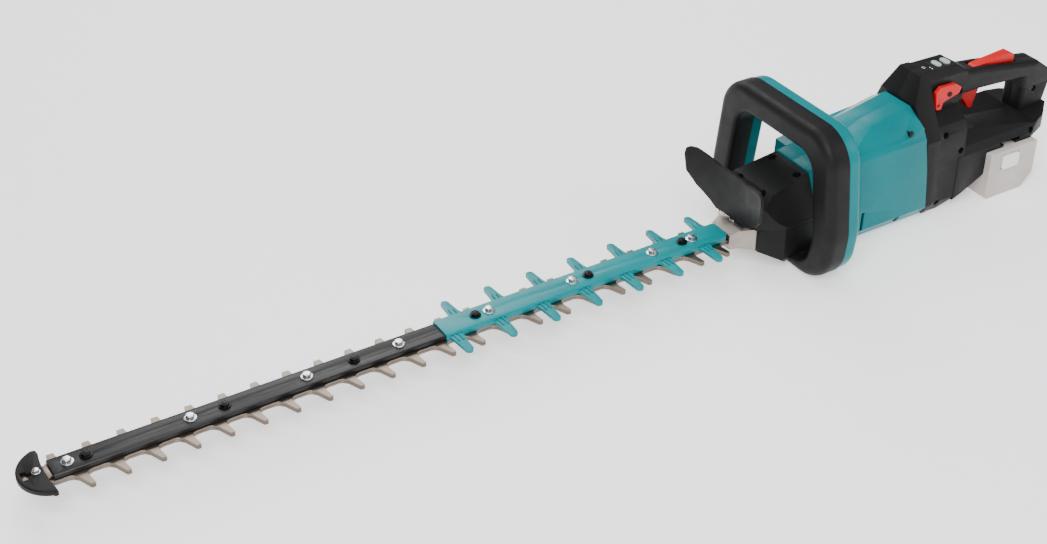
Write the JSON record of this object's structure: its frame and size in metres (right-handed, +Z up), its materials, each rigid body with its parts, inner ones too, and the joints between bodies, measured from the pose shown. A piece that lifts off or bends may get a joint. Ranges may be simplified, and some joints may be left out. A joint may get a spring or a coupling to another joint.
{
  "type": "hedge trimmer",
  "caption": "Cordless hedge trimmer: two reciprocating blades on a guide bar, geared motor housing, loop front handle and a rear handle that turns and holds a slide-in battery.",
  "frame": {"origin": "under the middle of the tool, on the plane of the battery's and front handle's undersides", "axes": "+X along the bar from the tip to the rear handle, +Z up, -Y the side with the turn lock lever"},
  "size_m": [1.26, 0.2132, 0.179],
  "materials": {
    "teal_plastic": "satin moulded plastic",
    "black_plastic": "fine moulded texture",
    "soft_rubber": "soft touch",
    "blade_steel": "ground and nickel plated",
    "case_metal": "die cast",
    "zinc_steel": "zinc plated",
    "black_steel": "black oxide",
    "gear_steel": "hardened",
    "copper": "enamelled winding wire",
    "bronze": "sintered bush",
    "felt": "grease felt",
    "fan_plastic": "glass filled nylon",
    "red_plastic": "satin",
    "trigger_plastic": "satin",
    "panel_plastic": "satin",
    "key_plastic": "satin",
    "battery_plastic": "pale warm grey",
    "cell_wrap": "shrink wrap",
    "white_plastic": "satin",
    "board": "circuit board",
    "switch_plastic": "satin"
  },
  "bodies": {
    "trimmer": {"gear_case": "case_metal", "gear_case_lid": "case_metal", "case_screws": "zinc_steel", "nose_bolt": "zinc_steel", "gear_cover": "black_plastic", "under_cover": "black_plastic", "cover_screws": "black_steel", "motor_housing_left": "teal_plastic", "motor_housing_right": "teal_plastic", "housing_screws": "black_steel", "front_handle_grip": "black_plastic", "front_handle_back": "teal_plastic", "handle_screws": "black_steel", "hand_guard": "black_plastic", "guide_bar": "blade_steel", "blade_cover": "teal_plastic", "tip_guard": "black_plastic", "tip_plate": "blade_steel", "tip_bolt": "zinc_steel", "bar_bolts": "zinc_steel", "bar_washers": "zinc_steel", "bar_sleeves": "zinc_steel", "bar_nuts": "black_steel", "bar_studs": "black_steel", "blade_retainers": "zinc_steel", "under_nuts": "zinc_steel", "stator": "gear_steel", "stator_coils": "copper", "motor_frame": "black_plastic", "shaft_bearings": "zinc_steel", "idler_axle": "zinc_steel", "grease_felt": "felt"},
    "crank": {"crank_gear": "gear_steel", "crankshaft": "gear_steel"},
    "idler": {"idler_gear": "gear_steel", "idler_bush": "bronze"},
    "motor_rotor": {"rotor": "gear_steel", "rotor_shaft": "gear_steel", "motor_pinion": "gear_steel", "cooling_fan": "fan_plastic"},
    "upper_cutter": {"upper_blade": "blade_steel"},
    "lower_cutter": {"lower_blade": "blade_steel"},
    "rear_handle": {"turn_ring": "gear_steel", "rear_housing_left": "black_plastic", "rear_housing_right": "black_plastic", "soft_grip": "soft_rubber", "control_panel": "panel_plastic", "rear_screws": "black_steel", "lever_pins": "black_steel", "switch_unit": "switch_plastic", "controller_board": "board", "battery_terminals": "copper"},
    "finger_trigger": {"trigger": "trigger_plastic"},
    "safety_lever": {"upper_lever": "red_plastic"},
    "turn_lock": {"lock_lever": "red_plastic"},
    "power_key": {"power_button": "key_plastic"},
    "speed_key": {"speed_button": "key_plastic"},
    "battery_pack": {"battery_case": "battery_plastic", "battery_cells": "cell_wrap"},
    "release_key": {"battery_button": "white_plastic"}
  },
  "joints": [
    {"name": "crank_turn", "type": "hinge", "parent": "trimmer", "child": "crank", "pos_m": [0.236, 0, 0.036], "axis": [0, 0, 1], "range_deg": [-90, 90]},
    {"name": "idler_turn", "type": "hinge", "parent": "trimmer", "child": "idler", "pos_m": [0.305, 0, 0.048], "axis": [0, 0, 1], "range_deg": [-128, 128]},
    {"name": "motor_turn", "type": "hinge", "parent": "trimmer", "child": "motor_rotor", "pos_m": [0.3425, 0, 0.076], "axis": [0, 0, 1], "range_deg": [-406, 406]},
    {"name": "upper_blade_slide", "type": "slide", "parent": "trimmer", "child": "upper_cutter", "axis": [1, 0, 0], "range_m": [-0.00876, 0.00876]},
    {"name": "lower_blade_slide", "type": "slide", "parent": "trimmer", "child": "lower_cutter", "axis": [1, 0, 0], "range_m": [-0.00876, 0.00876]},
    {"name": "handle_turn", "type": "hinge", "parent": "trimmer", "child": "rear_handle", "pos_m": [0.407, 0, 0.071], "axis": [0.9903, 0, 0.1392], "range_deg": [-90, 90]},
    {"name": "trigger_pull", "type": "hinge", "parent": "rear_handle", "child": "finger_trigger", "pos_m": [0.485, 0, 0.129], "axis": [0, -1, 0], "range_deg": [0, 10], "stiffness_Nm_per_rad": 0.5, "springref_deg": -5.73},
    {"name": "safety_lever_press", "type": "hinge", "parent": "rear_handle", "child": "safety_lever", "pos_m": [0.509, 0, 0.148], "axis": [0, 1, 0], "range_deg": [0, 5], "stiffness_Nm_per_rad": 2, "springref_deg": -5.73},
    {"name": "turn_lock_swing", "type": "hinge", "parent": "rear_handle", "child": "turn_lock", "pos_m": [0.45, -0.0249, 0.142], "axis": [0, 1, 0], "range_deg": [0, 15], "stiffness_Nm_per_rad": 0.3, "springref_deg": -5.73},
    {"name": "power_button_press", "type": "slide", "parent": "rear_handle", "child": "power_key", "axis": [0, 0, -1], "range_m": [0, 0.0008], "stiffness_N_per_m": 400, "springref_m": -0.0005},
    {"name": "speed_button_press", "type": "slide", "parent": "rear_handle", "child": "speed_key", "axis": [0, 0, -1], "range_m": [0, 0.0008], "stiffness_N_per_m": 400, "springref_m": -0.0005},
    {"name": "battery_slide", "type": "slide", "parent": "rear_handle", "child": "battery_pack", "axis": [0, -1, 0], "range_m": [0, 0.115]},
    {"name": "battery_release_press", "type": "slide", "parent": "battery_pack", "child": "release_key", "axis": [0, 1, 0], "range_m": [0, 0.0015], "stiffness_N_per_m": 800, "springref_m": -0.0005}
  ],
  "couplings": [
    {"joint": "idler_turn", "follows": "crank_turn", "ratio": -1.4211},
    {"joint": "motor_turn", "follows": "crank_turn", "ratio": 4.5},
    {"joint": "upper_blade_slide", "follows": "crank_turn", "m_per_rad": -0.0055704},
    {"joint": "lower_blade_slide", "follows": "crank_turn", "m_per_rad": 0.0055704}
  ]
}
